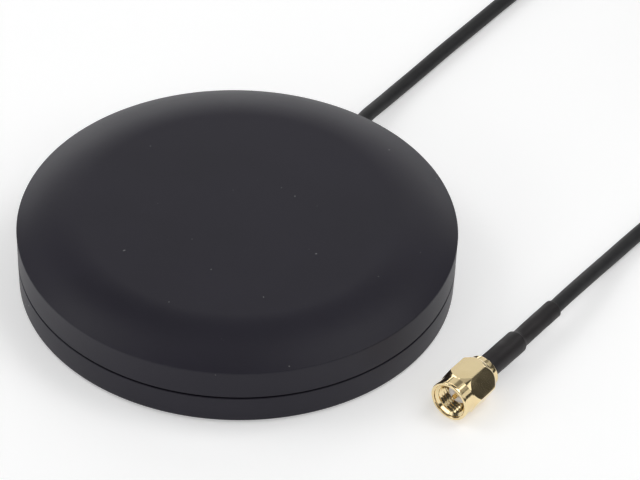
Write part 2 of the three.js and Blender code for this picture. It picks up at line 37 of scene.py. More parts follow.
RIM_R = 41.0
RIM_Z = 12.2
SPLIT_R = 40.75
FOOT_R = 40.5
FOOT_Z = 0.3
SPLIT_LOW = 5.9
SPLIT_HIGH = 6.2
PLATEAU_R = 28.7
SHOULDER_R = 22.0
CROWN = 0.15
PLATEAU_Z = RIM_Z + SHOULDER_R - math.sqrt(SHOULDER_R**2 - (RIM_R - PLATEAU_R) ** 2)
SHOULDER_Z = PLATEAU_Z - SHOULDER_R
RADOME_T = 1.9
RADOME_INNER_R = 38.9
CEILING_Z = PLATEAU_Z - 2
NOTCH_R = 39.75  # room for the seal ring in the radome's foot
NOTCH_TOP = 7.0

PAD_R = 26.0
PAD_T = 0.8
PAD_GAP = 0.4
FLOOR_TOP = 2.4
TRAY_INNER_R = 37.4
TONGUE_R = 38.6
TONGUE_TOP = 7.6
SCREW_CIRCLE_R = 33.0
SCREW_ANGLES = (45, 135, 225, 315)
SCREW_HEAD_R = 2.2
SCREW_HEAD = (0.6, 2.1)
SCREW_SHANK_R = 1.1
SCREW_TIP = 11.0
SCREW_HOLE_R = 2.6
SCREW_HOLE_TOP = 2.2
CROSS = (2.5, 0.5, 0.8)  # length, width and depth of the recess in a screw's head
CROSS_TAPER = 0.6

EXIT_Z = 3.2
BOOT_END_Y = 47.0
CABLE_R = 1.4

COIL_X = 41.0
COIL_Y = 152.0
COIL_MEAN_R = 22.0
COIL_COLUMNS = 4
COIL_ROWS = 5
COIL_LOW = 0.9
TURN_PITCH = 2.8
ENTRY_ANGLE = 168.0  # where the cable comes onto the coil, anticlockwise from +X
LEAVE_ANGLE = 10.0
TIE_ANGLE = 100.0
TIE_WIDTH = 4.0
TIE_T = 0.5
TIE_GAP = 0.3
TIE_HEAD = (2.6, TIE_WIDTH + 1.4, 4.6)
TIE_HEAD_OUT = 1.2  # from the strap's inside to the middle of its head
TIE_TAIL = (TIE_T, TIE_WIDTH - 0.4, 3)
TIE_TAIL_OUT = 0.6  # from the middle of the head
TIE_TAIL_UP = 3

GROMMET_START = 36.6
GROMMET_BORE_R = 1.55
GROMMET_R = 1.95
FLANGE_R = 2.6
FLANGE_T = 1.0
BOOT_R = 2.35

# Plug: heights along its axis from the coupling nut's mouth towards the cable
PLUG_TIP = (52.68, -15.25, 4.14)
PLUG_HEADING = 8.0
NUT_FLATS = 8.0
HEX_CORNER_R = NUT_FLATS / math.sqrt(3)
HEX_START = 2.5
NUT_END = 9.4
BEVEL_R = 3.9
BEVEL = 1.4
NUT_TURN = 3.4  # degrees that the nut lies turned from resting on a flat
LIP_R = 4.0
LIP_END = 0.55
SKIRT_R = 3.92
MOUTH_R = 3.4
MOUTH_END = 0.75
THREAD_R = 2.86
THREAD_ROOT_R = 3.2
THREAD_PITCH = 0.706
THREAD_END = 4.3
REAR_BORE_R = 3.2
FACE = 2.8
TUBE_R = 2.3
TUBE_BORE_R = 2.07
BODY_SHOULDER_R = 3.05
BODY_SHOULDER = (5.9, 9.3)
COLLAR_R = 3.3
COLLAR = (9.7, 11.0)
STEM_R = 1.35
STEM_BORE_R = 0.95
STEM = (8.6, 17.0)
RING_GROOVE = (7.0, 7.9)
RING_GROOVE_R = 2.65
NUT_GROOVE_R = 3.5
INSULATOR_R = 2.0
INSULATOR_BORE_R = 0.72
INSULATOR_END = 8.4
PIN_TIP = 1.1
PIN_R = 0.46
PIN_ROOT_R = 0.64
PIN_END = 8.3
FERRULE_R = 1.9
SLEEVE_START = 11.3
SLEEVE_STEP = 21.2
SLEEVE_TAPER = 0.8
SLEEVE_END = 33.1
SLEEVE_FAT_R = 2.25
SLEEVE_THIN_R = 1.8

# Where the photographer stood
VIEW_AZIMUTH = 27.6
VIEW_ELEVATION = 40.0
VIEW_ROLL = -1.5
VIEW_DISTANCE = 1400.0
VIEW_WIDTH = 119.4  # across the picture, at the puck
SENSOR = 36
AIM_RIGHT = 15.58  # from the puck's foot to the middle of the picture, across and up it
AIM_UP = 7.27

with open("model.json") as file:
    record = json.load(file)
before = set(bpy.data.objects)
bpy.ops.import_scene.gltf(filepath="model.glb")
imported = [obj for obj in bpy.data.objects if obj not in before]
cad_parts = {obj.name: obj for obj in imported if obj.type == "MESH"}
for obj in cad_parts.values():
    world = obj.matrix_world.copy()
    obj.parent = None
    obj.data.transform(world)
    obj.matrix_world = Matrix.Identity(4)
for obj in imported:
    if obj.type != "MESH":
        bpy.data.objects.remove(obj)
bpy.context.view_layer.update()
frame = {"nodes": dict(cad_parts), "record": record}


# ---- camera ----


def make_camera():
    azimuth = math.radians(VIEW_AZIMUTH)
    elevation = math.radians(VIEW_ELEVATION)
    ahead = Vector(
        (
            -math.sin(azimuth) * math.cos(elevation),
            math.cos(azimuth) * math.cos(elevation),
            -math.sin(elevation),
        )
    )
    right = Vector((math.cos(azimuth), math.sin(azimuth), 0))
    up = right.cross(ahead)
    turn = Matrix.Rotation(math.radians(VIEW_ROLL), 3, ahead)
    right, up = turn @ right, turn @ up
    place = (right * AIM_RIGHT + up * AIM_UP - ahead * VIEW_DISTANCE) * mm
    data = bpy.data.cameras.new("camera")
    data.sensor_width = SENSOR
    data.lens = SENSOR * VIEW_DISTANCE / VIEW_WIDTH
    data.clip_end = 20
    camera = bpy.data.objects.new("camera", data)
    axes = Matrix((right, up, -ahead)).transposed().to_4x4()
    camera.matrix_world = Matrix.Translation(place) @ axes
    bpy.context.scene.collection.objects.link(camera)
    bpy.context.scene.camera = camera


make_camera()


# ---- materials ----


class Nodes:
    """A material's node tree, with short calls to make and join nodes."""

    def __init__(self, name):
        self.material = bpy.data.materials.new(name)
        self.material.use_nodes = True
        self.tree = self.material.node_tree
        self.shader = self.tree.nodes["Principled BSDF"]
        self.where = self.make("ShaderNodeTexCoord").outputs["Object"]

    def make(self, kind, **settings):
        node = self.tree.nodes.new(kind)
        for key, value in settings.items():
            setattr(node, key, value)
        return node

    def join(self, output, socket):
        self.tree.links.new(output, socket)

    def noise(self, scale, detail=2.0, stretch=(1, 1, 1), roughness=0.5):
        mapping = self.make("ShaderNodeMapping")
        mapping.inputs["Scale"].default_value = stretch
        self.join(self.where, mapping.inputs["Vector"])
        noise = self.make("ShaderNodeTexNoise")
        noise.inputs["Scale"].default_value = scale
        noise.inputs["Detail"].default_value = detail
        noise.inputs["Roughness"].default_value = roughness
        self.join(mapping.outputs["Vector"], noise.inputs["Vector"])
        return noise.outputs["Fac"]

    def ramp(self, value, stops):
        ramp = self.make("ShaderNodeValToRGB")
        elements = ramp.color_ramp.elements
        while len(elements) < len(stops):
            elements.new(0.5)
        for element, (position, color) in zip(elements, stops):
            element.position = position
            element.color = (*color, 1) if isinstance(color, tuple) else (color, color, color, 1)
        self.join(value, ramp.inputs["Fac"])
        return ramp.outputs["Color"]

    def bump(self, height, strength, distance, under=None):
        bump = self.make("ShaderNodeBump")
        bump.inputs["Strength"].default_value = strength
        bump.inputs["Distance"].default_value = distance
        self.join(height, bump.inputs["Height"])
        if under is not None:
            self.join(under, bump.inputs["Normal"])
        return bump.outputs["Normal"]

    def set(self, **values):
        for name, value in values.items():
            self.shader.inputs[name.replace("_", " ")].default_value = value

    def drive(self, name, output):
        self.join(output, self.shader.inputs[name])


def moulded_plastic(name, dark, light, roughness, grain, depth):
    """Black plastic from a spark-eroded mould, with rare dust specks and uneven gloss."""
    n = Nodes(name)
    n.set(Specular_IOR_Level=0.28)
    mottle = n.noise(60, 3)
    specks = n.noise(900, 1)
    dust = n.ramp(specks, [(0.8, 0.0), (0.83, 1.0)])
    mix = n.make("ShaderNodeMix", data_type="RGBA")
    n.join(dust, mix.inputs["Factor"])
    n.join(n.ramp(mottle, [(0.35, dark), (0.65, light)]), mix.inputs["A"])
    mix.inputs["B"].default_value = (0.2, 0.2, 0.2, 1)
    n.drive("Base Color", mix.outputs["Result"])
    low, high = roughness
    n.drive("Roughness", n.ramp(n.noise(25, 4), [(0.3, low), (0.7, high)]))
    fine = n.bump(n.noise(grain, 3, roughness=0.6), 0.5, depth)
    n.drive("Normal", n.bump(n.noise(grain / 12, 2), 0.15, depth * 2, fine))
    return n.material


def plain(name, dark, light, roughness, scale, metallic=0.0, depth=0.00002, specular=0.5):
    """A surface whose colour, gloss and relief vary a little, the relief at the finest scale."""
    n = Nodes(name)
    n.set(Metallic=metallic, Specular_IOR_Level=specular)
    n.drive("Base Color", n.ramp(n.noise(scale / 4, 3), [(0.3, dark), (0.7, light)]))
    low, high = roughness
    n.drive("Roughness", n.ramp(n.noise(scale / 2, 3), [(0.3, low), (0.7, high)]))
    n.drive("Normal", n.bump(n.noise(scale, 2), 0.4, depth))
    return n.material


def gold_plate():
    """Bright gold over brass, with small differences in the plating."""
    n = Nodes("gold_plate")
    n.set(Metallic=1.0)
    tones = [(0.3, (0.87, 0.7, 0.4)), (0.7, (0.92, 0.76, 0.46))]
    n.drive("Base Color", n.ramp(n.noise(180, 3), tones))
    n.drive("Roughness", n.ramp(n.noise(500, 3), [(0.3, 0.1), (0.7, 0.15)]))
    n.drive("Normal", n.bump(n.noise(2500, 2), 0.15, 0.00001))
    return n.material


def shrink_tube():
    """Heat-shrink: satin, with soft lengthwise wrinkles."""
    n = Nodes("shrink_tube")
    n.set(Specular_IOR_Level=0.35)
    tones = [(0.3, (0.011, 0.009, 0.01)), (0.7, (0.017, 0.014, 0.015))]
    n.drive("Base Color", n.ramp(n.noise(200, 2), tones))
    n.drive("Roughness", n.ramp(n.noise(300, 3), [(0.3, 0.42), (0.7, 0.58)]))
    long_waves = n.bump(n.noise(500, 2, (1, 0.15, 1)), 0.35, 0.0001)
    n.drive("Normal", n.bump(n.noise(4000, 2), 0.3, 0.00002, long_waves))
    return n.material


HOUSING = moulded_plastic(
    "housing_plastic",
    (0.0098, 0.0083, 0.0165),
    (0.012, 0.0102, 0.0195),
    roughness=(0.42, 0.5),
    grain=4200,
    depth=0.00003,
)
RUBBER = plain(
    "rubber", (0.01, 0.01, 0.01), (0.018, 0.018, 0.018), (0.7, 0.85), scale=1800, depth=0.00004, specular=0.3
)
SILICONE = plain("silicone", (0.35, 0.06, 0.03), (0.45, 0.09, 0.04), (0.5, 0.6), scale=900)
JACKET = plain(
    "pvc_jacket", (0.021, 0.021, 0.022), (0.029, 0.029, 0.03), (0.45, 0.55), scale=2200, specular=0.2
)
SHRINK = shrink_tube()
GOLD = gold_plate()
PTFE = plain("ptfe", (0.9, 0.86, 0.82), (0.95, 0.92, 0.88), (0.45, 0.6), scale=800)
POLYETHYLENE = plain("polyethylene", (0.75, 0.74, 0.7), (0.85, 0.84, 0.8), (0.4, 0.5), scale=700)
STEEL = plain(
    "zinc_steel", (0.5, 0.51, 0.54), (0.62, 0.63, 0.65), (0.25, 0.4), scale=1500, metallic=1, depth=0.00001
)
NICKEL = plain(
    "nickel", (0.62, 0.61, 0.6), (0.7, 0.69, 0.67), (0.15, 0.28), scale=600, metallic=1, depth=0.00001
)
COPPER = plain(
    "copper", (0.75, 0.38, 0.25), (0.85, 0.48, 0.33), (0.25, 0.4), scale=3000, metallic=1, depth=0.00004
)
SILVER = plain(
    "fired_silver", (0.75, 0.75, 0.73), (0.85, 0.85, 0.83), (0.35, 0.5), scale=2500, metallic=1
)
BOARD = plain("solder_mask", (0.015, 0.1, 0.045), (0.03, 0.16, 0.07), (0.3, 0.42), scale=400)
CERAMIC = plain("ceramic", (0.5, 0.4, 0.28), (0.6, 0.5, 0.38), (0.6, 0.75), scale=1200, depth=0.00003)
TAPE = plain("tape", (0.66, 0.63, 0.54), (0.78, 0.76, 0.68), (0.5, 0.65), scale=600)
CHIP = plain("chip", (0.015, 0.015, 0.017), (0.028, 0.028, 0.03), (0.45, 0.6), scale=3000)

FINISH = {
    "housing": HOUSING,
    "rubber": RUBBER,
    "silicone": SILICONE,
    "cable_jacket": JACKET,
    "shrink": SHRINK,
    "gold": GOLD,
    "ptfe": PTFE,
    "polyethylene": POLYETHYLENE,
    "steel": STEEL,
    "magnet": NICKEL,
    "copper": COPPER,
    "silver": SILVER,
    "board": BOARD,
    "ceramic": CERAMIC,
    "tape": TAPE,
    "chip": CHIP,
}

for part in frame["record"]["subparts"]:
    mesh = frame["nodes"][part["node"]].data
    mesh.materials.clear()
    mesh.materials.append(FINISH[part["material_slot"]])


# ---- mesh helpers ----


def finished(name, bm, slot, body="antenna", replaces=(), sharp=35):
    """Makes a piece of a bmesh in metres: smooth but for its sharp edges, riding on its body."""
    bmesh.ops.recalc_face_normals(bm, faces=bm.faces)
    mesh = bpy.data.meshes.new(name)
    bm.to_mesh(mesh)
    bm.free()
    mesh.shade_smooth()
    mesh.set_sharp_from_angle(angle=math.radians(sharp))
    mesh.materials.append(FINISH[slot])
    piece = bpy.data.objects.new(name, mesh)
    bpy.context.scene.collection.objects.link(piece)
    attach(piece, body)
    if replaces:
        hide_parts(*replaces)
    return piece


def turn(bm, outline, sides, closed=True, wave=None):
    """Turns an outline of (radius, height) points about Z. wave(angle, height) adds to the radius."""
    rings = []
    for r, z in outline:
        if r < 1e-6:
            rings.append([bm.verts.new((0, 0, z * mm))] * sides)
            continue
        ring = []
        for i in range(sides):
            angle = 2 * math.pi * i / sides
            reach = r + (wave(angle, z) if wave else 0)
            ring.append(bm.verts.new((reach * mm * math.cos(angle), reach * mm * math.sin(angle), z * mm)))
        rings.append(ring)
    pairs = list(zip(rings, rings[1:]))
    if closed:
        pairs.append((rings[-1], rings[0]))
    for below, above in pairs:
        for i in range(sides):
            j = (i + 1) % sides
            corners = [below[i], below[j], above[j], above[i]]
            kept = [v for k, v in enumerate(corners) if v not in corners[:k]]
            if len(kept) > 2:
                bm.faces.new(kept)


def arc(centre, radius, start, end, count):
    """Points on an arc, with angles in degrees anticlockwise from the outline's +r axis."""
    points = []
    for i in range(count + 1):
        angle = math.radians(start + (end - start) * i / count)
        points.append((centre[0] + radius * math.cos(angle), centre[1] + radius * math.sin(angle)))
    return points


def on_circle(radius, degrees):
    angle = math.radians(degrees)
    return radius * math.cos(angle), radius * math.sin(angle)


def combine(piece, other_bm, operation):
    """Joins, cuts or crosses a piece's mesh with the closed shapes in other_bm."""
    mesh = bpy.data.meshes.new("other")
    other_bm.to_mesh(mesh)
    other_bm.free()
    other = bpy.data.objects.new("other", mesh)
    bpy.context.scene.collection.objects.link(other)
    modifier = piece.modifiers.new("combine", "BOOLEAN")
    modifier.operation = operation
    modifier.solver = "MANIFOLD"
    modifier.object = other
    apply_modifiers(piece)
    bpy.data.objects.remove(other)


def apply_modifiers(piece, sharp=35):
    bpy.context.view_layer.update()
    shown = piece.evaluated_get(bpy.context.evaluated_depsgraph_get())
    result = bpy.data.meshes.new_from_object(shown)
    piece.modifiers.clear()
    piece.data = result
    result.shade_smooth()
    result.set_sharp_from_angle(angle=math.radians(sharp))


def soften(piece, width, segments=2, angle=35):
    """Rounds a piece's sharp edges."""
    modifier = piece.modifiers.new("soften", "BEVEL")
    modifier.width = width * mm
    modifier.segments = segments
    modifier.limit_method = "ANGLE"
    modifier.angle_limit = math.radians(angle)
    apply_modifiers(piece)


def cylinder(bm, r, low, high, x=0, y=0, sides=48):
    before = set(bm.verts)
    turn(bm, [(0, low), (r, low), (r, high), (0, high)], sides, closed=False)
    made = [v for v in bm.verts if v not in before]
    bmesh.ops.translate(bm, verts=made, vec=Vector((x, y, 0)) * mm)


# ---- cable ----


def plug_point(u, z):
    heading = math.radians(PLUG_HEADING)
    return PLUG_TIP[0] + u * math.sin(heading), PLUG_TIP[1] + u * math.cos(heading), z


TO_COIL = [
    (0, BOOT_END_Y - 0.5, EXIT_Z),
    (-0.2, 51.2, 2.95),
    (-0.1, 55, 2.4),
    (0.1, 59, 1.85),
    (0.45, 63.3, 1.5),
    (1.2, 69, CABLE_R),
    (2.4, 78, CABLE_R),
    (3.9, 88, CABLE_R),
    (5.5, 98.5, CABLE_R),
    (7.4, 109, CABLE_R),
    (9.5, 120, CABLE_R),
    (11.5, 132, CABLE_R + 0.2),
    (13.1, 144.6, 2.3),
]
TO_PLUG = [
    (68.8, 143.6, 3.4),
    (69.7, 132, 1.8),
    (69.9, 120, CABLE_R),
    (69.3, 108, CABLE_R),
    (68, 95, CABLE_R),
    (66.1, 82, CABLE_R),
    (64, 70, CABLE_R),
    (61.8, 59, CABLE_R),
    (60, 48.7, CABLE_R),
    (59.35, 44.4, 1.45),
    (58.9, 40, 1.75),
    (58.6, 36, 2.2),
    (58.3, 31, 2.9),
    (58, 26, 3.55),
    (57.7, 22, 3.95),
    plug_point(SLEEVE_END - 0.5, PLUG_TIP[2]),
]


def winding():
    """Each turn's (column, row): along the bottom row inwards, then back out, up and down the columns."""
    cells = [(column, 0) for column in reversed(range(COIL_COLUMNS))]
    for column in range(COIL_COLUMNS):
        rows = range(1, COIL_ROWS)
        cells += [(column, row) for row in (rows if column % 2 == 0 else reversed(rows))]
    return cells


def coil_points():
    """Clockwise turns, each a cable's width from its neighbours, that step from cell to cell as they go."""
    cells = winding()
    per_turn = 16
    swept = ENTRY_ANGLE - LEAVE_ANGLE + 360 * (len(cells) - 1)
    count = round(swept / 360 * per_turn)
    points = []
    for i in range(count + 1):
        turns = swept * i / count / 360
        index = min(int(turns), len(cells) - 1)
        after = min(index + 1, len(cells) - 1)
        step = max(0.0, (turns - index - 0.7) / 0.3)
        step = step * step * (3 - 2 * step)
        column = cells[index][0] * (1 - step) + cells[after][0] * step
        row = cells[index][1] * (1 - step) + cells[after][1] * step
        radius = COIL_MEAN_R + (column - (COIL_COLUMNS - 1) / 2) * TURN_PITCH
        x, y = on_circle(radius, ENTRY_ANGLE - turns * 360)
        points.append((COIL_X + x, COIL_Y + y, COIL_LOW + CABLE_R + row * TURN_PITCH))
    return points


def make_cable():
    """One cable from the puck through its coil to the plug."""
    coil = coil_points()
    route = TO_COIL + coil + TO_PLUG
    curve = bpy.data.curves.new("cable", "CURVE")
    curve.dimensions = "3D"
    curve.resolution_u = 6
    curve.bevel_depth = CABLE_R * mm
    curve.bevel_resolution = 5
    curve.use_fill_caps = True
    spline = curve.splines.new("BEZIER")
    spline.bezier_points.add(len(route) - 1)
    for point, place in zip(spline.bezier_points, route):
        point.co = Vector(place) * mm
        point.handle_left_type = "AUTO"
        point.handle_right_type = "AUTO"
    curve.materials.append(JACKET)
    cable = bpy.data.objects.new("cable", curve)
    bpy.context.scene.collection.objects.link(cable)
    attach(cable, "antenna")
    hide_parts("cable_to_coil", "cable_to_plug", "cable_coil")
    return cable


cable = make_cable()

# ---- housing ----

HOUSING_SIDES = 256


def radome_outline():
    """The shell's section: foot, wall, rim, shoulder and plateau outside, and the same inside."""
    rim_angle = math.degrees(math.asin((RIM_R - PLATEAU_R) / SHOULDER_R))
    inner_r = SHOULDER_R - RADOME_T
    inner_angle = math.degrees(math.asin((RADOME_INNER_R - PLATEAU_R) / inner_r))
    centre = (PLATEAU_R, SHOULDER_Z)
    edge = 0.12
    wall = [(SPLIT_R - edge, SPLIT_HIGH), (SPLIT_R, SPLIT_HIGH + edge)]
    worn = 0.06  # the rim's corner is a little round
    rim = [(RIM_R - worn / 2, RIM_Z - 0.35), (RIM_R, RIM_Z - 0.1)]
    outside = arc(centre, SHOULDER_R, 90 - rim_angle, 90, 32)
    outside[0] = (RIM_R - worn, RIM_Z + worn)
    top = [(PLATEAU_R * (1 - i / 6), PLATEAU_Z + CROWN * (1 - (1 - i / 6) ** 2)) for i in range(1, 7)]
    inside = arc(centre, inner_r, 90, 90 - inner_angle, 12)
    foot = [(RADOME_INNER_R, NOTCH_TOP), (NOTCH_R, NOTCH_TOP), (NOTCH_R, SPLIT_HIGH)]
    return wall + rim + outside + top + [(0, CEILING_Z)] + inside + foot


def make_radome():
    bm = bmesh.new()
    turn(bm, radome_outline(), HOUSING_SIDES)
    return finished("radome_cover", bm, "housing", replaces=["radome"], sharp=28)


def make_base():
    edge = 0.5
    corner = arc((FOOT_R - edge, FOOT_Z + edge), edge, -90, 0, 6)
    chamfer = 0.12
    outline = (
        [(0, PAD_T), (PAD_R + PAD_GAP, PAD_T), (PAD_R + PAD_GAP, FOOT_Z)]
        + corner
        + [(SPLIT_R, SPLIT_LOW - chamfer), (SPLIT_R - chamfer, SPLIT_LOW), (TONGUE_R, SPLIT_LOW)]
        + [(TONGUE_R, TONGUE_TOP), (TRAY_INNER_R, TONGUE_TOP), (TRAY_INNER_R, FLOOR_TOP), (0, FLOOR_TOP)]
    )
    bm = bmesh.new()
    turn(bm, outline, HOUSING_SIDES, closed=False)
    piece = finished("base_cover", bm, "housing", replaces=["base_tray"], sharp=28)
    holes = bmesh.new()
    for angle in SCREW_ANGLES:
        x, y = on_circle(SCREW_CIRCLE_R, angle)
        cylinder(holes, SCREW_HOLE_R, -1, SCREW_HOLE_TOP, x, y)
    combine(piece, holes, "DIFFERENCE")
    return piece


make_radome()
make_base()


def make_screw(index, x, y):
    """A pan head with a cross recess, seen in its hole from below."""
    low, high = SCREW_HEAD
    edge = 0.5
    rim = arc((SCREW_HEAD_R - edge, low + edge), edge, -90, 0, 5)
    outline = (
        [(0, low), (1, low)]
        + rim
        + [(SCREW_HEAD_R, high), (SCREW_SHANK_R, high), (SCREW_SHANK_R, SCREW_TIP - 1), (0, SCREW_TIP)]
    )
    bm = bmesh.new()
    turn(bm, outline, 40, closed=False)
    name = f"housing_screw_{index}"
    piece = finished(f"{name}_detail", bm, "steel", replaces=[name])
    length, width, depth = CROSS
    for angle in (0, 90):
        blade = bmesh.new()
        bmesh.ops.create_cube(blade, size=mm)
        bmesh.ops.scale(blade, verts=blade.verts, vec=(length, width, 2 * depth))
        for vert in blade.verts:
            if vert.co.z > 0:
                vert.co.x *= CROSS_TAPER
        bmesh.ops.rotate(blade, verts=blade.verts, matrix=Matrix.Rotation(math.radians(angle), 3, "Z"))
        bmesh.ops.translate(blade, verts=blade.verts, vec=Vector((0, 0, low * mm)))
        combine(piece, blade, "DIFFERENCE")
    piece.data.transform(Matrix.Translation(Vector((x, y, 0)) * mm))


def make_pad():
    """The soft pad under the base: flat below, with a rounded edge."""
    edge = 0.3
    rim = arc((PAD_R - edge, edge), edge, -90, 0, 6)
    bm = bmesh.new()
    turn(bm, [(0, 0)] + rim + [(PAD_R, PAD_T), (0, PAD_T)], 160, closed=False)
    return finished("pad", bm, "rubber", replaces=["base_pad"])


for number, screw_angle in enumerate(SCREW_ANGLES, start=1):
    make_screw(number, *on_circle(SCREW_CIRCLE_R, screw_angle))
make_pad()

# ---- plug ----

plug_place = (
    Matrix.Translation(Vector(PLUG_TIP) * mm)
    @ Matrix.Rotation(-math.radians(PLUG_HEADING), 4, "Z")
    @ Matrix.Rotation(-math.pi / 2, 4, "X")
)


def on_plug(bm):
    """Lays a shape made along +Z from the plug's mouth down where the plug is."""
    bmesh.ops.transform(bm, matrix=plug_place, verts=bm.verts)
    return bm


def plug_piece(name, outline, slot, replaces, sides=72, closed=True, wave=None):
    bm = bmesh.new()
    turn(bm, outline, sides, closed, wave)
    return finished(name, on_plug(bm), slot, replaces=replaces)


def thread_wave(angle, z):
    """The thread's grooves between its crests, fading in at the mouth."""
    if not MOUTH_END < z < THREAD_END:
        return 0
    phase = (z / THREAD_PITCH - angle / (2 * math.pi)) % 1
    fade_in, fade_out = 0.25, 0.3
    fade = min(1, (z - MOUTH_END) / fade_in, (THREAD_END - z) / fade_out)
    return (THREAD_ROOT_R - THREAD_R) * fade * (1 - abs(2 * phase - 1))


def hexagon(bm, corner_r, low, high):
    rings = []
    for z in (low, high):
        places = [on_circle(corner_r, 60 * i - NUT_TURN) for i in range(6)]
        rings.append([bm.verts.new((x * mm, y * mm, z * mm)) for x, y in places])
    bm.faces.new(reversed(rings[0]))
    bm.faces.new(rings[1])
    for i in range(6):
        j = (i + 1) % 6
        bm.faces.new((rings[0][i], rings[0][j], rings[1][j], rings[1][i]))


def nut_blank():
    """What the hexagon is turned down to: a cone at each end."""
    bm = bmesh.new()
    over = 0.1
    slope = BEVEL / (HEX_CORNER_R - BEVEL_R)
    outline = [
        (0, HEX_START),
        (BEVEL_R, HEX_START),
        (HEX_CORNER_R + over, HEX_START + BEVEL + over * slope),
        (HEX_CORNER_R + over, NUT_END - BEVEL - over * slope),
        (BEVEL_R, NUT_END),
        (0, NUT_END),
    ]
    turn(bm, outline, 128, closed=False)
    return on_plug(bm)


def nut_skirt():
    """The round front of the nut, with a lip at its mouth."""
    bm = bmesh.new()
    edge = 0.18
    lip = arc((LIP_R - edge, edge), edge, -90, 0, 5)
    outline = [
        (0, 0),
        *lip,
        (LIP_R, LIP_END),
        (SKIRT_R, LIP_END + 0.15),
        (SKIRT_R, HEX_START + BEVEL / 2),
        (0, HEX_START + BEVEL / 2),
    ]
    turn(bm, outline, 128, closed=False)
    return on_plug(bm)


def nut_bore():
    """The countersunk mouth, the thread and the plain bore behind it."""
    bm = bmesh.new()
    edge = 0.1
    steps = round((THREAD_END - MOUTH_END) / THREAD_PITCH * 10)
    thread = [(THREAD_R, MOUTH_END + (THREAD_END - MOUTH_END) * i / steps) for i in range(steps + 1)]
    outline = [
        (0, -1),
        (MOUTH_R + edge, -1),
        (MOUTH_R + edge, 0),
        (MOUTH_R, edge),
        (MOUTH_R, MOUTH_END - 0.35),
        *thread,
        (REAR_BORE_R, THREAD_END + 0.1),
        (REAR_BORE_R, RING_GROOVE[0]),
        (NUT_GROOVE_R, RING_GROOVE[0]),
        (NUT_GROOVE_R, RING_GROOVE[1]),
        (REAR_BORE_R, RING_GROOVE[1]),
        (REAR_BORE_R, NUT_END + 1),
        (0, NUT_END + 1),
    ]
    turn(bm, outline, 96, closed=False, wave=thread_wave)
    return on_plug(bm)


def make_nut():
    bm = bmesh.new()
    hexagon(bm, HEX_CORNER_R, HEX_START, NUT_END)
    piece = finished("nut", on_plug(bm), "gold", body="coupling_nut", replaces=["coupling_nut"])
    combine(piece, nut_blank(), "INTERSECT")
    combine(piece, nut_skirt(), "UNION")
    soften(piece, width=0.1, segments=4, angle=35)
    combine(piece, nut_bore(), "DIFFERENCE")
    piece.data.set_sharp_from_angle(angle=math.radians(12))  # the six flats stay flat
    return piece


def make_body():
    """The plug's fixed shell: outer contact in front, collar behind the nut, stem for the braid."""
    edge = 0.06
    low, high = COLLAR
    round_edge = 0.25
    back = arc((COLLAR_R - round_edge, high - round_edge), round_edge, 0, 90, 5)
    outline = [
        (TUBE_BORE_R, FACE + edge),
        (TUBE_BORE_R + edge, FACE),
        (TUBE_R - edge, FACE),
        (TUBE_R, FACE + edge),
        (TUBE_R, BODY_SHOULDER[0]),
        (BODY_SHOULDER_R, BODY_SHOULDER[0]),
        (BODY_SHOULDER_R, RING_GROOVE[0]),
        (RING_GROOVE_R, RING_GROOVE[0]),
        (RING_GROOVE_R, RING_GROOVE[1]),
        (BODY_SHOULDER_R, RING_GROOVE[1]),
        (BODY_SHOULDER_R, BODY_SHOULDER[1]),
        (RING_GROOVE_R, low),
        (COLLAR_R - edge, low),
        (COLLAR_R, low + edge),
        *back,
        (STEM_R, high),
        (STEM_R, STEM[1]),
        (STEM_BORE_R, STEM[1]),
        (STEM_BORE_R, STEM[0]),
        (TUBE_BORE_R, STEM[0]),
    ]
    return plug_piece("body_shell", outline, "gold", ["plug_body"], sides=96)


def make_insulator():
    edge = 0.08
    outline = [
        (INSULATOR_BORE_R, FACE + edge),
        (INSULATOR_BORE_R + edge, FACE),
        (INSULATOR_R - edge, FACE),
        (INSULATOR_R, FACE + edge),
        (INSULATOR_R, INSULATOR_END),
        (INSULATOR_BORE_R, INSULATOR_END),
    ]
    return plug_piece("insulator", outline, "ptfe", ["plug_insulator"])


def make_pin():
    tip = 0.2
    point = arc((0, PIN_TIP + tip), tip, -90, -30, 4)[1:]
    outline = [
        (0, PIN_TIP),
        *point,
        (PIN_R - 0.05, PIN_TIP + 0.5),
        (PIN_R, PIN_TIP + 0.62),
        (PIN_R, FACE + 0.2),
        (PIN_ROOT_R, FACE + 0.3),
        (PIN_ROOT_R, PIN_END),
        (0, PIN_END),
    ]
    return plug_piece("centre_pin", outline, "gold", ["plug_pin"], sides=48, closed=False)


def sleeve_wave(angle, z):
    """Heat-shrink follows what it covers, so it is never quite round or straight."""
    fat = z < SLEEVE_STEP
    lean = 0.03 * math.sin(angle + 0.9) * math.sin(z * 0.35)
    creases = 0.012 * math.sin(3 * angle + z * 0.8) + 0.008 * math.sin(5 * angle - z * 1.7)
    return lean + creases if fat else 0.7 * lean + creases


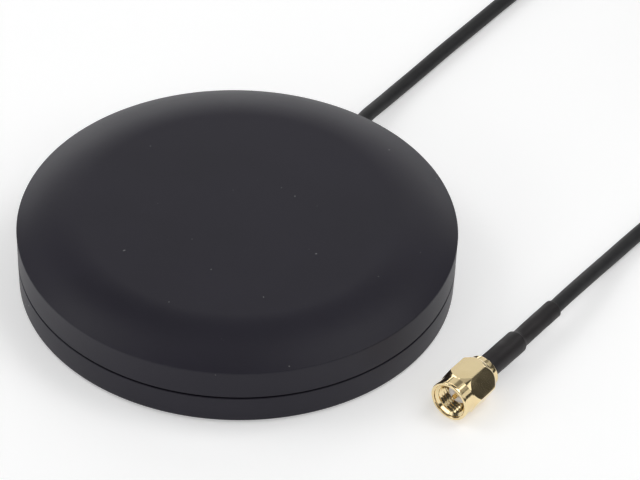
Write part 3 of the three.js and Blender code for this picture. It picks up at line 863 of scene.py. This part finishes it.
def make_sleeve():
    """Heat-shrink over the ferrule, with a fat and a thin stretch that each end in a soft lip."""
    inner = FERRULE_R + 0.06
    cable_room = CABLE_R + 0.08
    edge = 0.2
    front = arc((SLEEVE_FAT_R - edge, SLEEVE_START + edge), edge, -90, 0, 4)
    fat = [(SLEEVE_FAT_R, SLEEVE_START + edge + (SLEEVE_STEP - SLEEVE_START) * i / 12) for i in range(1, 12)]
    lip_r = 0.35
    lip = arc((SLEEVE_FAT_R - lip_r, SLEEVE_STEP), lip_r, 0, 80, 6)
    foot = (SLEEVE_THIN_R + 0.04, SLEEVE_STEP + SLEEVE_TAPER)
    thin_length = SLEEVE_END - foot[1]
    thin = [(SLEEVE_THIN_R, foot[1] + 0.3 + (thin_length - 0.6) * i / 12) for i in range(13)]
    back = arc((SLEEVE_THIN_R - edge, SLEEVE_END - edge), edge, 0, 80, 4)
    outline = [
        (inner, SLEEVE_START),
        *front,
        *fat,
        *lip,
        foot,
        *thin,
        *back,
        (cable_room, SLEEVE_END),
        (cable_room, SLEEVE_STEP + SLEEVE_TAPER - 0.2),
        (inner, SLEEVE_STEP - 0.1),
    ]
    return plug_piece("sleeve", outline, "shrink", ["shrink_sleeve"], wave=sleeve_wave)


nut = make_nut()
plug_pieces = [nut, make_body(), make_insulator(), make_pin(), make_sleeve()]

# ---- grommet and tie ----


def make_grommet():
    """A rubber bush with a flange against the wall and a boot with shallow rings."""
    flange_end = RIM_R + FLANGE_T
    edge = 0.2
    flange = arc((FLANGE_R - edge, flange_end - edge), edge, 0, 90, 4)
    boot_start = flange_end + 0.15
    boot = []
    steps = 32
    for i in range(steps + 1):
        along = i / steps
        groove = 0.1 * max(0, math.sin(along * 4 * 2 * math.pi)) * (1 - along * 0.5)
        taper = BOOT_R + (GROMMET_R - BOOT_R) * along
        boot.append((taper - groove, boot_start + (BOOT_END_Y - boot_start) * along))
    outline = [
        (GROMMET_BORE_R, GROMMET_START),
        (GROMMET_R, GROMMET_START),
        (GROMMET_R, RIM_R - 0.1),
        (FLANGE_R, RIM_R - 0.1),
        *flange,
        *boot,
        (GROMMET_BORE_R, BOOT_END_Y),
    ]
    bm = bmesh.new()
    turn(bm, outline, 48)
    along_exit = Matrix.Translation(Vector((0, 0, EXIT_Z * mm))) @ Matrix.Rotation(-math.pi / 2, 4, "X")
    bmesh.ops.transform(bm, matrix=along_exit, verts=bm.verts)
    return finished("grommet", bm, "rubber", replaces=["cable_grommet"])


def tie_loop(grow):
    """A rounded rectangle round the coil's bundle of turns, as (across, up) points."""
    half = COIL_COLUMNS * TURN_PITCH / 2 + TIE_GAP + grow
    low = COIL_LOW - TIE_GAP - grow
    high = COIL_LOW + COIL_ROWS * TURN_PITCH + TIE_GAP + grow
    r = CABLE_R + 0.4 + grow
    corners = [(half - r, low + r), (half - r, high - r), (r - half, high - r), (r - half, low + r)]
    points = []
    for i, corner in enumerate(corners):
        points += arc(corner, r, 90 * i - 90, 90 * i, 6)
    return points


def make_tie():
    """A flat strap pulled through a small locking head, with its end cut short."""
    bm = bmesh.new()
    half_width = TIE_WIDTH / 2
    chamfer = 0.12
    section = [
        (0, -half_width),
        (TIE_T - chamfer, -half_width),
        (TIE_T, chamfer - half_width),
        (TIE_T, half_width - chamfer),
        (TIE_T - chamfer, half_width),
        (0, half_width),
    ]
    rings = []
    for grow, across in section:
        rings.append([bm.verts.new((x * mm, across * mm, z * mm)) for x, z in tie_loop(grow)])
    for here, there in zip(rings, rings[1:] + rings[:1]):
        count = len(here)
        for i in range(count):
            j = (i + 1) % count
            bm.faces.new((here[i], here[j], there[j], there[i]))
    piece = finished("tie", bm, "rubber", replaces=["coil_tie"])
    head = bmesh.new()
    block = bmesh.ops.create_cube(head, size=mm)["verts"]
    bmesh.ops.scale(head, verts=block, vec=TIE_HEAD)
    outside = COIL_COLUMNS * TURN_PITCH / 2 + TIE_GAP + TIE_HEAD_OUT
    middle = COIL_LOW + COIL_ROWS * TURN_PITCH / 2
    bmesh.ops.translate(head, verts=block, vec=Vector((outside, 0, middle)) * mm)
    combine(piece, head, "UNION")
    tail = bmesh.new()
    stub = bmesh.ops.create_cube(tail, size=mm)["verts"]
    bmesh.ops.scale(tail, verts=stub, vec=TIE_TAIL)
    tail_at = Vector((outside + TIE_TAIL_OUT, 0, middle + TIE_TAIL_UP)) * mm
    bmesh.ops.translate(tail, verts=stub, vec=tail_at)
    combine(piece, tail, "UNION")
    soften(piece, width=0.15, segments=2, angle=50)
    x, y = on_circle(COIL_MEAN_R, TIE_ANGLE)
    place = Matrix.Translation(Vector((COIL_X + x, COIL_Y + y, 0)) * mm)
    piece.data.transform(place @ Matrix.Rotation(math.radians(TIE_ANGLE), 4, "Z"))
    return piece


cord_pieces = plug_pieces + [make_grommet(), make_tie()]

# ---- floor and lights ----

FLOOR_HALF = 6  # metres
FLOOR_DROP = 0.1  # keeps the floor clear of the pad's flat underside
FLOOR_GLOW = 0.34  # a lit table, so that shadows stay faint
WORLD_GLOW = 0.05

# Name, azimuth, elevation, size in metres and power of each light
SOFT_BOXES = [
    ("low_back", 180, 12, (1.6, 0.35), 3.55),
    ("back", 180, 39, (0.7, 0.4), 0.62),
    ("back_right", 140, 40, (0.5, 0.5), 0.15),
    ("high_left", -105, 45, (0.6, 0.45), 1.6),
    ("high_right", 105, 45, (0.6, 0.45), 0.3),
    ("left", -75, 25, (0.6, 0.4), 0.9),
    ("right", 80, 22, (0.6, 0.3), 0.45),
    ("front_left", -38, 18, (0.6, 0.4), 1.4),
    ("front", 0, 40, (0.6, 0.4), 0.4),
    ("front_right", 50, 40, (0.6, 0.5), 1.2),
    ("top_left", -96, 60, (0.5, 0.5), 0.7),
    ("top_right", 96, 60, (0.5, 0.5), 2.2),
    ("top", 0, 88, (0.8, 0.8), 0.9),
]


def make_floor():
    bm = bmesh.new()
    bmesh.ops.create_grid(bm, x_segments=1, y_segments=1, size=FLOOR_HALF)
    mesh = bpy.data.meshes.new("floor")
    bm.to_mesh(mesh)
    bm.free()
    n = Nodes("floor")
    n.set(Base_Color=(0.85, 0.85, 0.85, 1), Roughness=0.7, Specular_IOR_Level=0.1)
    n.set(Emission_Color=(1, 1, 1, 1), Emission_Strength=FLOOR_GLOW)
    mesh.materials.append(n.material)
    floor = bpy.data.objects.new("floor", mesh)
    floor.location.z = -FLOOR_DROP * mm
    bpy.context.scene.collection.objects.link(floor)


def make_soft_box(name, azimuth, elevation, size, power):
    """A rectangular light a metre from the puck, at an azimuth clockwise from the camera's own."""
    data = bpy.data.lights.new(name, "AREA")
    data.shape = "RECTANGLE"
    data.size, data.size_y = size
    data.energy = power
    light = bpy.data.objects.new(name, data)
    angle = math.radians(VIEW_AZIMUTH + azimuth)
    level = math.cos(math.radians(elevation))
    towards = Vector((math.sin(angle) * level, -math.cos(angle) * level, math.sin(math.radians(elevation))))
    light.matrix_world = Matrix.Translation(towards) @ towards.to_track_quat("Z", "Y").to_matrix().to_4x4()
    bpy.context.scene.collection.objects.link(light)


def make_world():
    world = bpy.data.worlds.new("studio")
    world.use_nodes = True
    background = world.node_tree.nodes["Background"]
    background.inputs["Color"].default_value = (1, 1, 1, 1)
    background.inputs["Strength"].default_value = WORLD_GLOW
    bpy.context.scene.world = world


make_floor()
make_world()
for soft_box in SOFT_BOXES:
    make_soft_box(*soft_box)
bpy.context.scene.view_settings.view_transform = "Standard"

bpy.context.view_layer.update()
